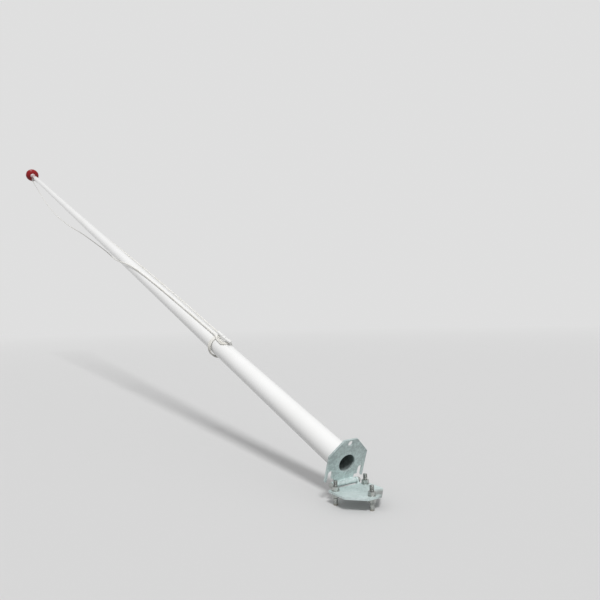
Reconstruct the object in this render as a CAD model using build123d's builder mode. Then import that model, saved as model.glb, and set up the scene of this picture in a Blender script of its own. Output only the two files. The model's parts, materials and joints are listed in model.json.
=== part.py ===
"""Tilting flagpole: a tapered tube pole on a hinged steel bracket that stands on three anchor studs.

Frame: origin at the middle of the lower plate's underside, +Z up, +Y along the hinge, and the pole
leans towards -X.  Millimetres.  The pole is drawn at the tilt of the photograph.
"""
import os
from math import acos, atan2, cos, degrees, pi, radians, sin, sqrt, tan

from build123d import *

os.makedirs("parts", exist_ok=True)

# Tilt of the pole above level
rest_tilt = 19.3

# Bracket plates, seen from above with the hinge at -X
plate_thickness = 8.0
plate_half_width = 88.0
plate_reach = 97.0
far_edge_half_width = 30.0
side_end = 39.0
plate_corner_radius = 4.0
lower_near_edge = 60.0
upper_near_edge = 66.0

# Anchor studs, nuts and washers
stud_circle_radius = 80.0
stud_shank_diameter = 16.0
stud_diameter = 15.7
stud_stand_off = 43.0
stud_shank_length = 24.0
stud_above_plate = 37.0
stud_chamfer = 1.5
stud_hole_clearance = 1.0
nut_across_flats = 24.0
nut_height = 13.0
nut_crown_angle = 30.0
washer_diameter = 30.0
washer_thickness = 3.0
washer_seat_depth = 0.5
washer_seat_clearance = 1.0
thread_gap = 0.05

# Hinge
hinge_offset = 77.0
hinge_bolt_diameter = 12.0
hinge_running_gap = 0.05
hinge_tube_diameter = 21.0
hinge_tube_half_length = 50.0
hinge_side_gap = 1.0
ear_thickness = 8.0
ear_radius = 12.0
hinge_head_across_flats = 18.0
hinge_head_height = 7.5
hinge_nut_height = 10.8
hinge_bolt_proud = 4.0
bolt_end_chamfer = 1.2

# Openings of the upper plate
central_hole_diameter = 69.7
slot_width = 20.0
slot_reach = 55.0
far_hole_diameter = 22.0
far_hole_shift = 1.0
swing_clearance = 5.0
closed_gap = 0.5
seat_gap = 0.3

# Pole and the tube it stands on
pole_length = 9000.0
pole_foot_diameter = 100.0
pole_tip_diameter = 60.0
pole_wall = 5.0
spigot_diameter = 76.1
spigot_length = 400.0
guide_ring_height = 24.0
guide_ring_gap = 0.4
guide_ring_inset = 36.0

# Truck, sheave and knob at the tip
truck_flange_radius = 34.0
truck_flange_height = 10.0
truck_plug_length = 60.0
truck_plug_wall = 5.0
truck_neck_radius = 22.0
truck_neck_length = 14.0
truck_stem_radius = 14.0
truck_stem_length = 26.0
sheave_offset = 68.0
sheave_drop = 4.0
sheave_rope_radius = 20.0
sheave_rim_radius = 24.0
sheave_width = 12.0
sheave_side_gap = 1.0
cheek_thickness = 4.0
cheek_radius = 15.0
sheave_pin_diameter = 8.0
sheave_pin_head_radius = 7.0
sheave_pin_head_height = 3.0
knob_radius = 98.0
knob_half_height = 62.0
knob_side_radius = 45.0
knob_wall = 4.0
knob_seat_radius = 26.0

# Cleat on the side of the pole that faces away from the hinge
cleat_place = 1130.0
cleat_stem_length = 60.0
cleat_length = 160.0
cleat_width = 18.0
cleat_height = 28.0
cleat_horn_rise = 12.0
cleat_tip_rise = 19.0
cleat_top_dip = 3.0
cleat_edge_radius = 2.0
cleat_screw_spacing = 34.0
cleat_screw_diameter = 5.0
cleat_screw_head_radius = 4.5
cleat_screw_head_height = 3.0
cleat_screw_head_depth = 8.0

# Halyard
rope_diameter = 8.0
rope_gap = 0.4
arc_share = 0.45
bight_ease = 0.1
ring_turns = 3
ring_place = 1178.0
ring_sag = 4.2
ring_slack = 5.8
ring_tilt = 5.0
turns_height = 11.0
turns_rope_rows = 1.5
turns_gap = 0.5
rope_end_inside = 2.0

# Places that follow from the sizes above
plate_gap = washer_thickness + nut_height
hinge_height = plate_thickness + plate_gap / 2
hinge_centre = Vector(-hinge_offset, 0, hinge_height)
upper_underside = plate_gap / 2 + closed_gap
upper_topside = upper_underside + plate_thickness
stud_radius = stud_diameter / 2
rope_radius = rope_diameter / 2
lean = radians(rest_tilt)
up_plate = Vector(sin(lean), 0, cos(lean))
along_pole = Vector(-cos(lean), 0, sin(lean))

# The tilting pieces are drawn from the hinge axis: x along the plate, y along the hinge, z along the pole
tilt_plane = Plane(origin=hinge_centre, x_dir=up_plate, z_dir=along_pole)
pole_foot = tilt_plane.from_local_coords(Vector(hinge_offset, 0, upper_topside))
foot_plane = Plane(origin=pole_foot, x_dir=up_plate, z_dir=along_pole)
tip_plane = foot_plane.offset(pole_length)


def finish(part, name):
    """Name one piece and write it."""
    part.label = name
    export_step(part, f"parts/{name}.step")
    print(f"{name}: {part.volume / 1000:.1f} cm3")


def pole_radius(along):
    """Outer radius of the pole at a height above its foot."""
    taper = (pole_foot_diameter - pole_tip_diameter) / 2 / pole_length
    return pole_foot_diameter / 2 - taper * along


def stud_centres():
    """One stud away from the hinge and two beside it, on one circle."""
    for turn in (0, 120, 240):
        angle = radians(turn)
        yield stud_circle_radius * cos(angle), stud_circle_radius * sin(angle)


def hexagon(plane, across_flats, height, bore_radius=0.0):
    """A nut or bolt head that stands on a plane, its corners turned off at both ends."""
    flat_radius = across_flats / 2
    corner_radius = flat_radius / cos(radians(30))
    crown = (corner_radius - flat_radius) * tan(radians(nut_crown_angle))
    with BuildPart() as prism:
        with BuildSketch(plane):
            RegularPolygon(flat_radius, 6, major_radius=False)
            if bore_radius:
                Circle(bore_radius, mode=Mode.SUBTRACT)
        extrude(amount=height)
        with BuildSketch(Plane(origin=plane.origin, x_dir=plane.x_dir, z_dir=-plane.y_dir)):
            with BuildLine():
                Polyline(
                    (0, 0),
                    (flat_radius, 0),
                    (corner_radius, crown),
                    (corner_radius, height - crown),
                    (flat_radius, height),
                    (0, height),
                    close=True,
                )
            make_face()
        revolve(axis=Axis(origin=plane.origin, direction=plane.z_dir), mode=Mode.INTERSECT)
    return prism.part


# Anchor studs, with a levelling nut and washer under the lower plate and a washer and nut on it
stud_top = plate_thickness + stud_above_plate
lower_washer_bottom = washer_seat_depth - washer_thickness
nut_places = (
    ("levelling_nut", lower_washer_bottom - nut_height),
    ("seat_nut", plate_thickness + washer_thickness),
)
washer_places = (("lower_washer", lower_washer_bottom), ("upper_washer", plate_thickness))
for number, (stud_x, stud_y) in enumerate(stud_centres(), start=1):
    with BuildPart(Plane.XY.offset(-stud_stand_off)) as anchor_stud:
        with Locations((stud_x, stud_y)):
            Cylinder(
                radius=stud_radius,
                height=stud_stand_off + stud_top,
                align=(Align.CENTER, Align.CENTER, Align.MIN),
            )
        chamfer(anchor_stud.edges().sort_by(Axis.Z)[-1], stud_chamfer)
        with Locations((stud_x, stud_y)):
            Cylinder(
                radius=stud_shank_diameter / 2,
                height=stud_shank_length,
                align=(Align.CENTER, Align.CENTER, Align.MIN),
            )
    finish(anchor_stud.part, f"anchor_stud_{number}")

    for piece_name, bottom in nut_places:
        nut_plane = Plane(origin=(stud_x, stud_y, bottom))
        nut = hexagon(nut_plane, nut_across_flats, nut_height, stud_radius + thread_gap)
        finish(nut, f"{piece_name}_{number}")

    for piece_name, bottom in washer_places:
        with BuildPart() as washer:
            with BuildSketch(Plane.XY.offset(bottom)):
                with Locations((stud_x, stud_y)):
                    Circle(washer_diameter / 2)
                    Circle(stud_radius + thread_gap, mode=Mode.SUBTRACT)
            extrude(amount=washer_thickness)
        finish(washer.part, f"{piece_name}_{number}")


# Lower plate, with a shallow seat under each stud hole for the washer
with BuildPart() as lower_plate:
    with BuildSketch():
        with BuildLine():
            Polyline(
                (-lower_near_edge, -plate_half_width),
                (side_end, -plate_half_width),
                (plate_reach, -far_edge_half_width),
                (plate_reach, far_edge_half_width),
                (side_end, plate_half_width),
                (-lower_near_edge, plate_half_width),
                close=True,
            )
        make_face()
    extrude(amount=plate_thickness)
    fillet(lower_plate.edges().filter_by(Axis.Z), plate_corner_radius)
    with Locations(*[(x, y, plate_thickness) for x, y in stud_centres()]):
        Hole(stud_radius + stud_hole_clearance)
    with BuildSketch():
        with Locations(*stud_centres()):
            Circle(washer_diameter / 2 + washer_seat_clearance)
    extrude(amount=washer_seat_depth, mode=Mode.SUBTRACT)
finish(lower_plate.part, "lower_plate")

# Two ears welded to the lower plate's hinge side
ear_inner_face = hinge_tube_half_length + hinge_side_gap
ear_outer_face = ear_inner_face + ear_thickness
for side, side_name in ((-1, "left"), (1, "right")):
    ear_start = -ear_inner_face if side < 0 else ear_outer_face
    with BuildPart() as hinge_ear:
        with BuildSketch(Plane.XZ.offset(-ear_start)):
            with Locations((-hinge_offset, hinge_height)):
                Circle(ear_radius)
            with Locations((-lower_near_edge, 0)):
                Rectangle(1, plate_thickness, align=(Align.MAX, Align.MIN))
            make_hull()
            with Locations((-hinge_offset, hinge_height)):
                Circle(hinge_bolt_diameter / 2 + hinge_running_gap, mode=Mode.SUBTRACT)
        extrude(amount=ear_thickness)
    finish(hinge_ear.part, f"hinge_ear_{side_name}")

# Hinge bolt: head on the left ear, nut on the right one
bolt_end = ear_outer_face + hinge_nut_height + hinge_bolt_proud
head_plane = Plane(
    origin=hinge_centre - Vector(0, ear_outer_face, 0), x_dir=(1, 0, 0), z_dir=(0, -1, 0)
)
with BuildPart() as hinge_bolt:
    add(hexagon(head_plane, hinge_head_across_flats, hinge_head_height))
    with BuildSketch(head_plane):
        Circle(hinge_bolt_diameter / 2)
    extrude(amount=-ear_outer_face - bolt_end)
    chamfer(hinge_bolt.edges().sort_by(Axis.Y)[-1], bolt_end_chamfer)
finish(hinge_bolt.part, "hinge_bolt")

nut_plane = Plane(origin=hinge_centre + Vector(0, ear_outer_face, 0), x_dir=(1, 0, 0), z_dir=(0, 1, 0))
nut_bore_radius = hinge_bolt_diameter / 2 + thread_gap
hinge_nut = hexagon(nut_plane, hinge_head_across_flats, hinge_nut_height, nut_bore_radius)
finish(hinge_nut, "hinge_nut")

# Hinge tube along the upper plate's edge
tube_radius = hinge_tube_diameter / 2
with BuildPart() as hinge_tube:
    with BuildSketch(Plane(origin=hinge_centre, x_dir=(1, 0, 0), z_dir=(0, -1, 0))):
        Circle(tube_radius)
        Circle(hinge_bolt_diameter / 2 + hinge_running_gap, mode=Mode.SUBTRACT)
    extrude(amount=hinge_tube_half_length, both=True)
finish(hinge_tube.part, "hinge_tube")

# Upper plate: the tongue meets the tube, with notches that clear the ears and slots for the near studs
near_stud_y = stud_circle_radius * sin(radians(60))
tongue_edge = sqrt(tube_radius**2 - upper_underside**2) + seat_gap
tongue_half_width = ear_inner_face - swing_clearance
notch_edge = hinge_offset - lower_near_edge + swing_clearance
slot_outer = near_stud_y + slot_width / 2
slot_end_centre = slot_reach - slot_width / 2
far_hole_x = hinge_offset + stud_circle_radius + far_hole_shift
with BuildPart(tilt_plane) as upper_plate:
    with BuildSketch(tilt_plane.offset(upper_underside)) as upper_outline:
        with BuildLine():
            Polyline(
                (tongue_edge, -tongue_half_width),
                (notch_edge, -tongue_half_width),
                (notch_edge, -slot_outer),
                (hinge_offset - upper_near_edge, -slot_outer),
                (hinge_offset - upper_near_edge, -plate_half_width),
                (hinge_offset + side_end, -plate_half_width),
                (hinge_offset + plate_reach, -far_edge_half_width),
                (hinge_offset + plate_reach, far_edge_half_width),
                (hinge_offset + side_end, plate_half_width),
                (hinge_offset - upper_near_edge, plate_half_width),
                (hinge_offset - upper_near_edge, slot_outer),
                (notch_edge, slot_outer),
                (notch_edge, tongue_half_width),
                (tongue_edge, tongue_half_width),
                close=True,
            )
        make_face()
        outer_corners = upper_outline.vertices().filter_by(
            lambda corner: corner.X > hinge_offset or abs(corner.Y) > slot_outer - seat_gap
        )
        fillet(outer_corners, plate_corner_radius)
        for side in (-1, 1):
            with Locations((slot_end_centre, side * near_stud_y)):
                Circle(slot_width / 2, mode=Mode.SUBTRACT)
                Rectangle(
                    slot_end_centre, slot_width, align=(Align.MAX, Align.CENTER), mode=Mode.SUBTRACT
                )
        with Locations((hinge_offset, 0)):
            Circle(central_hole_diameter / 2, mode=Mode.SUBTRACT)
        with Locations((far_hole_x, 0)):
            Circle(far_hole_diameter / 2, mode=Mode.SUBTRACT)
    extrude(amount=plate_thickness)
finish(upper_plate.part, "upper_plate")

# Spigot tube with two guide rings, and the pole over them
spigot_inner = central_hole_diameter / 2
with BuildPart(foot_plane) as spigot:
    with BuildSketch(foot_plane):
        Circle(spigot_diameter / 2)
        Circle(spigot_inner, mode=Mode.SUBTRACT)
    extrude(amount=spigot_length)
finish(spigot.part, "spigot")

upper_ring_place = spigot_length - guide_ring_inset - guide_ring_height
for place, ring_name in ((guide_ring_inset, "lower"), (upper_ring_place, "upper")):
    ring_outer = pole_radius(place + guide_ring_height) - pole_wall - guide_ring_gap
    with BuildPart(foot_plane) as guide_ring:
        with BuildSketch(foot_plane.offset(place)):
            Circle(ring_outer)
            Circle(spigot_diameter / 2 + thread_gap, mode=Mode.SUBTRACT)
        extrude(amount=guide_ring_height)
    finish(guide_ring.part, f"guide_ring_{ring_name}")

foot_radius = pole_foot_diameter / 2
tip_radius = pole_tip_diameter / 2
with BuildPart() as pole_shaft:
    with BuildSketch(Plane(origin=pole_foot, x_dir=up_plate, z_dir=(0, -1, 0))):
        with BuildLine():
            Polyline(
                (foot_radius - pole_wall, 0),
                (foot_radius, 0),
                (tip_radius, pole_length),
                (tip_radius - pole_wall, pole_length),
                close=True,
            )
        make_face()
    revolve(axis=Axis(origin=pole_foot, direction=along_pole))
finish(pole_shaft.part, "pole_shaft")

# Truck: a plug in the pole's tip, a flange with two cheeks on the hinge's side, and a neck for the knob
sheave_centre = (-sheave_offset, -sheave_drop)
cheek_inner = sheave_width / 2 + sheave_side_gap
truck_side = Plane(origin=tip_plane.origin, x_dir=up_plate, z_dir=(0, -1, 0))
truck_plug_radius = tip_radius - pole_wall - guide_ring_gap
with BuildPart(tip_plane) as truck:
    with BuildSketch(truck_side):
        with BuildLine():
            Polyline(
                (0, truck_flange_height + truck_neck_length + truck_stem_length),
                (0, 0),
                (truck_plug_radius - truck_plug_wall, 0),
                (truck_plug_radius - truck_plug_wall, -truck_plug_length),
                (truck_plug_radius, -truck_plug_length),
                (truck_plug_radius, seat_gap),
                (truck_flange_radius, seat_gap),
                (truck_flange_radius, truck_flange_height),
                (truck_neck_radius, truck_flange_height),
                (truck_neck_radius, truck_flange_height + truck_neck_length),
                (truck_stem_radius, truck_flange_height + truck_neck_length),
                (truck_stem_radius, truck_flange_height + truck_neck_length + truck_stem_length),
                close=True,
            )
        make_face()
    revolve(axis=Axis(origin=tip_plane.origin, direction=along_pole))
    for cheek_start in (-cheek_inner - cheek_thickness, cheek_inner):
        with BuildSketch(truck_side.offset(cheek_start)):
            with Locations(sheave_centre):
                Circle(cheek_radius)
            with Locations((-truck_flange_radius, seat_gap)):
                Rectangle(1, truck_flange_height - seat_gap, align=(Align.MAX, Align.MIN))
            make_hull()
            with Locations((-truck_flange_radius, seat_gap)):
                Rectangle(
                    truck_flange_radius - truck_neck_radius,
                    truck_flange_height - seat_gap,
                    align=(Align.MIN, Align.MIN),
                )
            with Locations(sheave_centre):
                Circle(sheave_pin_diameter / 2 + hinge_running_gap, mode=Mode.SUBTRACT)
        extrude(amount=cheek_thickness)
finish(truck.part, "truck")

sheave_middle = tip_plane.from_local_coords(Vector(-sheave_offset, 0, -sheave_drop))
with BuildPart() as sheave:
    with BuildSketch(Plane(origin=sheave_middle, x_dir=up_plate, z_dir=along_pole)):
        with Locations((sheave_pin_diameter / 2 + hinge_running_gap, 0)):
            Rectangle(
                sheave_rim_radius - sheave_pin_diameter / 2 - hinge_running_gap,
                sheave_width,
                align=(Align.MIN, Align.CENTER),
            )
        with Locations((sheave_rope_radius, 0)):
            Circle(rope_radius + rope_gap, mode=Mode.SUBTRACT)
            Rectangle(
                sheave_rim_radius,
                2 * (rope_radius + rope_gap),
                align=(Align.MIN, Align.CENTER),
                mode=Mode.SUBTRACT,
            )
    revolve(axis=Axis(origin=sheave_middle, direction=(0, 1, 0)))
finish(sheave.part, "sheave")

pin_half = cheek_inner + cheek_thickness
with BuildPart() as sheave_pin:
    with BuildSketch(Plane(origin=sheave_middle, x_dir=up_plate, z_dir=(0, -1, 0))):
        Circle(sheave_pin_diameter / 2)
    extrude(amount=pin_half, both=True)
    for head_start in (pin_half, -pin_half - sheave_pin_head_height):
        head_plane = Plane(origin=sheave_middle, x_dir=up_plate, z_dir=(0, -1, 0)).offset(head_start)
        with BuildSketch(head_plane):
            Circle(sheave_pin_head_radius)
        extrude(amount=sheave_pin_head_height)
finish(sheave_pin.part, "sheave_pin")

# Knob: a flattened hollow ball on the truck's neck, its section made of a crown arc and a side arc
knob_side_centre = knob_radius - knob_side_radius
knob_crown_drop = (knob_side_centre**2 - (knob_half_height - knob_side_radius) ** 2) / 2
knob_crown_drop = knob_crown_drop / (knob_half_height - knob_side_radius)
knob_crown_radius = knob_half_height + knob_crown_drop
knob_blend = degrees(atan2(knob_side_centre, knob_crown_drop))
knob_seat_drop = sqrt(knob_crown_radius**2 - knob_seat_radius**2) - knob_crown_drop
knob_seat_height = truck_flange_height + truck_neck_length + seat_gap
knob_middle = tip_plane.from_local_coords(Vector(0, 0, knob_seat_height + knob_seat_drop))
knob_axis = Axis(origin=knob_middle, direction=along_pole)
with BuildPart() as knob:
    for inset, knob_mode in ((0, Mode.ADD), (knob_wall, Mode.SUBTRACT)):
        crown_radius = knob_crown_radius - inset
        seat_turn = degrees(acos((knob_seat_drop - inset + knob_crown_drop) / crown_radius))
        with BuildSketch(Plane(origin=knob_middle, x_dir=up_plate, z_dir=(0, -1, 0))):
            with BuildLine():
                crown = CenterArc((0, -knob_crown_drop), crown_radius, 90 - knob_blend, knob_blend)
                CenterArc((knob_side_centre, 0), knob_side_radius - inset, knob_blend - 90,
                          180 - 2 * knob_blend)
                under = CenterArc((0, knob_crown_drop), crown_radius, seat_turn - 90,
                                  knob_blend - seat_turn)
                Polyline(under @ 0, (0, inset - knob_seat_drop), crown @ 1)
            make_face()
        revolve(axis=knob_axis, mode=knob_mode)
    with BuildSketch(Plane(origin=knob_middle, x_dir=up_plate, z_dir=along_pole)):
        Circle(truck_stem_radius + seat_gap)
    extrude(amount=-knob_half_height, mode=Mode.SUBTRACT)
finish(knob.part, "knob")

# Cleat: a stem screwed to the pole, with a horn each way along it
cleat_seat = pole_radius(cleat_place - cleat_stem_length / 2) + seat_gap
cleat_middle = foot_plane.from_local_coords(Vector(0, 0, cleat_place))
cleat_side = Plane(origin=cleat_middle, x_dir=along_pole, z_dir=(0, 1, 0))
cleat_horn = cleat_length / 2
cleat_stem = cleat_stem_length / 2
with BuildPart() as cleat:
    with BuildSketch(cleat_side):
        with BuildLine():
            top = ThreePointArc(
                (-cleat_horn, cleat_seat + cleat_height),
                (0, cleat_seat + cleat_height - cleat_top_dip),
                (cleat_horn, cleat_seat + cleat_height),
            )
            Polyline(
                top @ 1,
                (cleat_horn, cleat_seat + cleat_tip_rise),
                (cleat_stem, cleat_seat + cleat_horn_rise),
                (cleat_stem, cleat_seat - cleat_width / 4),
                (-cleat_stem, cleat_seat - cleat_width / 4),
                (-cleat_stem, cleat_seat + cleat_horn_rise),
                (-cleat_horn, cleat_seat + cleat_tip_rise),
                top @ 0,
            )
        make_face()
    extrude(amount=cleat_width / 2, both=True)
    side_edges = cleat.faces().filter_by(Plane.XZ).edges()
    fillet(side_edges.filter_by(lambda edge: (edge @ 0.5 - cleat_middle).dot(up_plate) > cleat_seat),
           cleat_edge_radius)
    with BuildSketch(Plane(origin=cleat_middle, x_dir=up_plate, z_dir=along_pole)):
        Circle(cleat_seat)
    extrude(amount=cleat_length, both=True, mode=Mode.SUBTRACT)
    for side in (-1, 1):
        screw_middle = cleat_middle + along_pole * side * cleat_screw_spacing / 2
        with BuildSketch(Plane(origin=screw_middle, x_dir=along_pole, z_dir=up_plate)):
            Circle(cleat_screw_diameter / 2 + thread_gap)
        extrude(amount=2 * pole_foot_diameter, mode=Mode.SUBTRACT)
        head_seat = cleat_seat + cleat_height - cleat_screw_head_depth
        with BuildSketch(Plane(origin=screw_middle, x_dir=along_pole, z_dir=up_plate).offset(head_seat)):
            Circle(cleat_screw_head_radius + seat_gap)
        extrude(amount=cleat_height, mode=Mode.SUBTRACT)
finish(cleat.part, "cleat")

# Two screws through the cleat's stem, with their heads sunk below its top
for number, side in ((1, -1), (2, 1)):
    screw_middle = cleat_middle + along_pole * side * cleat_screw_spacing / 2
    screw_seat = Plane(origin=screw_middle, x_dir=along_pole, z_dir=up_plate).offset(head_seat)
    with BuildPart() as cleat_screw:
        with BuildSketch(screw_seat):
            Circle(cleat_screw_head_radius)
        extrude(amount=cleat_screw_head_height)
        with BuildSketch(screw_seat):
            Circle(cleat_screw_diameter / 2)
        extrude(amount=cleat_seat - head_seat)
    finish(cleat_screw.part, f"cleat_screw_{number}")

# Halyard: a loose ring of turns round the pole, and flat turns round the cleat's stem
ring_middle = foot_plane.from_local_coords(Vector(-ring_sag, 0, ring_place))
ring_tilted = radians(rest_tilt - ring_tilt)
ring_across = Vector(sin(ring_tilted), 0, cos(ring_tilted))
ring_axis = Vector(-cos(ring_tilted), 0, sin(ring_tilted))
ring_width = ring_turns * rope_diameter
ring_inner = pole_radius(ring_place) + ring_slack
ring_profile = Plane(origin=ring_middle, x_dir=ring_across, z_dir=(0, -1, 0))
with BuildPart() as pole_turns:
    with BuildSketch(ring_profile):
        with Locations((ring_inner + rope_radius, 0)):
            RectangleRounded(rope_diameter, ring_width, rope_radius - rope_gap)
    revolve(axis=Axis(origin=ring_middle, direction=ring_axis))
finish(pole_turns.part, "pole_turns")

turns_plane = Plane(origin=cleat_middle, x_dir=along_pole, z_dir=up_plate)
turns_length = cleat_stem_length + 2 * (rope_diameter + turns_gap)
turns_width = cleat_width + 2 * (turns_rope_rows * rope_diameter + turns_gap)
with BuildPart() as cleat_turns:
    with BuildSketch(turns_plane):
        RectangleRounded(turns_length, turns_width, rope_diameter)
        Rectangle(
            cleat_stem_length + 2 * turns_gap, cleat_width + 2 * turns_gap, mode=Mode.SUBTRACT
        )
    extrude(amount=cleat_seat + turns_height)
    with BuildSketch(Plane(origin=cleat_middle, x_dir=up_plate, z_dir=along_pole)):
        Circle(cleat_seat + turns_gap)
    extrude(amount=cleat_length, both=True, mode=Mode.SUBTRACT)
finish(cleat_turns.part, "cleat_turns")


def rope_point(along, round_pole, off):
    """A place on a rope: height above the foot, angle round the pole, and gap to the pole's surface."""
    reach = pole_radius(along) + rope_radius + off
    turn = radians(round_pole)
    return foot_plane.from_local_coords(Vector(reach * cos(turn), -reach * sin(turn), along))


def rope(points, name, bight_radii=()):
    """A plain tube along straight runs joined by tangent arcs, as large as the runs allow.

    The first arcs may be given instead, where the rope goes round the sheave.
    """
    radii = []
    for before, corner, after in zip(points, points[1:], points[2:]):
        turn = (corner - before).get_angle(after - corner)
        shorter = min((corner - before).length, (after - corner).length)
        radii.append(arc_share * shorter / tan(radians(turn / 2)))
    radii[:len(bight_radii)] = bight_radii
    print(name, "radii", [round(radius) for radius in radii])
    with BuildPart() as tube:
        with BuildLine() as path:
            route = FilletPolyline(*points, radius=radii)
        with BuildSketch(Plane(origin=route @ 0, z_dir=route % 0)):
            Circle(rope_radius)
        sweep()
    section = pi * rope_radius**2
    print(f"{name}: length {route.length:.0f}, section times length {section * route.length / 1000:.1f} cm3")
    finish(tube.part, name)


fall_height = pole_length - sheave_drop
outer_fall = sheave_offset + sheave_rope_radius
inner_fall = sheave_offset - sheave_rope_radius
bight_height = fall_height + sheave_rope_radius
ring_reach = ring_inner + rope_radius - pole_radius(ring_place) - rope_radius - ring_sag

# The slack fall hangs below the pole, comes to it and passes over its near side to the cleat
rope([
    foot_plane.from_local_coords(Vector(-outer_fall, 0, fall_height - sheave_rim_radius)),
    rope_point(8890, 180, 56),
    rope_point(8680, 180, 69),
    rope_point(8350, 180, 91),
    rope_point(7900, 180, 130),
    rope_point(7400, 180, 172),
    rope_point(6900, 180, 193),
    rope_point(6350, 180, 198),
    rope_point(5800, 180, 174),
    rope_point(5290, 180, 139),
    rope_point(4830, 180, 99),
    rope_point(4350, 180, 66),
    rope_point(3950, 178, 38),
    rope_point(3660, 170, 18),
    rope_point(3440, 150, 9),
    rope_point(3280, 126, 8),
    rope_point(3120, 102, 8),
    rope_point(2970, 77, 8),
    rope_point(2800, 52, 7),
    rope_point(2520, 36, 6),
    rope_point(2100, 27, 5),
    rope_point(1620, 21, 5),
    rope_point(ring_place + ring_width / 2 - rope_end_inside, 16, ring_reach),
], "halyard_slack")

# The other fall starts over the sheave and winds down the pole's far side to the cleat
rope([
    foot_plane.from_local_coords(Vector(-outer_fall, 0, fall_height - sheave_rim_radius)),
    foot_plane.from_local_coords(Vector(-outer_fall, 0, bight_height)),
    foot_plane.from_local_coords(Vector(-inner_fall, 0, bight_height)),
    foot_plane.from_local_coords(Vector(-inner_fall, 0, fall_height - sheave_rim_radius)),
    rope_point(8500, 186, 9),
    rope_point(7900, 198, 7),
    rope_point(7200, 212, 7),
    rope_point(6400, 229, 6),
    rope_point(5600, 245, 6),
    rope_point(4800, 262, 6),
    rope_point(4000, 279, 6),
    rope_point(3200, 295, 6),
    rope_point(2500, 310, 6),
    rope_point(1900, 323, 6),
    rope_point(1500, 332, 5),
    rope_point(ring_place + ring_width / 2 - rope_end_inside, 341, ring_reach),
], "halyard_fall", bight_radii=[sheave_rope_radius - bight_ease] * 2)
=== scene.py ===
import json
import math

import bmesh
import bpy
import numpy as np
from mathutils import Matrix, Vector


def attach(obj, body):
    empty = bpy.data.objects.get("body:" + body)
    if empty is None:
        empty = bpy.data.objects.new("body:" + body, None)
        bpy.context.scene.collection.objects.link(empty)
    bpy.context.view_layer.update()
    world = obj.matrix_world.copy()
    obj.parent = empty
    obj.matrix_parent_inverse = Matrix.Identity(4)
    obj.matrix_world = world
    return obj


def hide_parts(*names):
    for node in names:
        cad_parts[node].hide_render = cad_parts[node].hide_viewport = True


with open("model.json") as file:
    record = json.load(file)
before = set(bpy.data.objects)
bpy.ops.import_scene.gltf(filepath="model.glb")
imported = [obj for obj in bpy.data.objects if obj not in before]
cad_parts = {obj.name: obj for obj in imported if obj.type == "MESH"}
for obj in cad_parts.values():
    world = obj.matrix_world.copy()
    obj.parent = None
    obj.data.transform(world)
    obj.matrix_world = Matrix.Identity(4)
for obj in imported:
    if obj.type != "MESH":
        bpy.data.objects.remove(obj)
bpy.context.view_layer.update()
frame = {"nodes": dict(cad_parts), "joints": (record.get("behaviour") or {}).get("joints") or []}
print("frame loaded:", len(frame["nodes"]), "nodes")

# Everything that tilts is placed from the hinge: up the plate, across it, and along the pole. The axis of
# the pole is as far up the plate as the hinge's x is from 0, so the upright pole stands over the origin
leanDegrees = 19.3
footAlong = 0.0165  # from the hinge along the pole to the face that the pole's foot stands on
floorHeight = -0.043
hinge = np.array(frame["joints"][0]["pos_m"])
lean = math.radians(leanDegrees)
upPlate = np.array([math.sin(lean), 0.0, math.cos(lean)])
acrossPlate = np.array([0.0, 1.0, 0.0])
alongPole = np.array([-math.cos(lean), 0.0, math.sin(lean)])
poleFoot = hinge - hinge[0] * upPlate + footAlong * alongPole

# Camera, from the photograph's vanishing lines
cameraSettings = {
    "place": (1.57681, -1.25360, 0.64673),
    "forward": (-0.839009, 0.543479, 0.026358),
    "up": (0.032649, 0.001931, 0.999465),
    "lens": 32.935,
    "sensor": 36.0,
    "clip": (0.05, 300.0),
}


def makeCamera(settings):
    data = bpy.data.cameras.new("photoCamera")
    data.lens = settings["lens"]
    data.sensor_width = settings["sensor"]
    data.clip_start, data.clip_end = settings["clip"]
    camera = bpy.data.objects.new("photoCamera", data)
    bpy.context.collection.objects.link(camera)
    forward = Vector(settings["forward"]).normalized()
    right = forward.cross(Vector(settings["up"])).normalized()
    turned = Matrix((right, right.cross(forward), -forward)).transposed()
    camera.rotation_euler = turned.to_euler()
    camera.location = settings["place"]
    bpy.context.scene.camera = camera


makeCamera(cameraSettings)
print("camera placed")


# Mesh helpers shared by all pieces

# An object from an array of points and an array of quads
def linkMesh(name, points, faces):
    mesh = bpy.data.meshes.new(name)
    mesh.from_pydata(points.reshape(-1, 3).tolist(), [], faces.reshape(-1, 4).tolist())
    piece = bpy.data.objects.new(name, mesh)
    bpy.context.collection.objects.link(piece)
    return piece


# Quads between neighbouring rows of a grid of points; columns always close on themselves
def gridFaces(rows, columns, closeRows=False):
    index = np.arange(rows * columns).reshape(rows, columns)
    below = index if closeRows else index[:-1]
    above = np.roll(index, -1, axis=0) if closeRows else index[1:]
    return np.stack([below, np.roll(below, -1, axis=1), np.roll(above, -1, axis=1), above], axis=-1)


surfaceSettings = {"merge": 1e-6, "tiny": 1e-7, "hardAngle": 38.0}


# Merge poles and seams, point all faces outwards, and smooth all but the hard edges
def tidySurface(piece, hardAngle=surfaceSettings["hardAngle"]):
    work = bmesh.new()
    work.from_mesh(piece.data)
    bmesh.ops.remove_doubles(work, verts=work.verts, dist=surfaceSettings["merge"])
    bmesh.ops.dissolve_degenerate(work, edges=work.edges, dist=surfaceSettings["tiny"])
    bmesh.ops.recalc_face_normals(work, faces=work.faces)
    if work.calc_volume(signed=True) < 0:
        bmesh.ops.reverse_faces(work, faces=work.faces)
    work.to_mesh(piece.data)
    work.free()
    piece.data.polygons.foreach_set("use_smooth", [True] * len(piece.data.polygons))
    piece.data.set_sharp_from_angle(angle=math.radians(hardAngle))
    return piece


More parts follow.
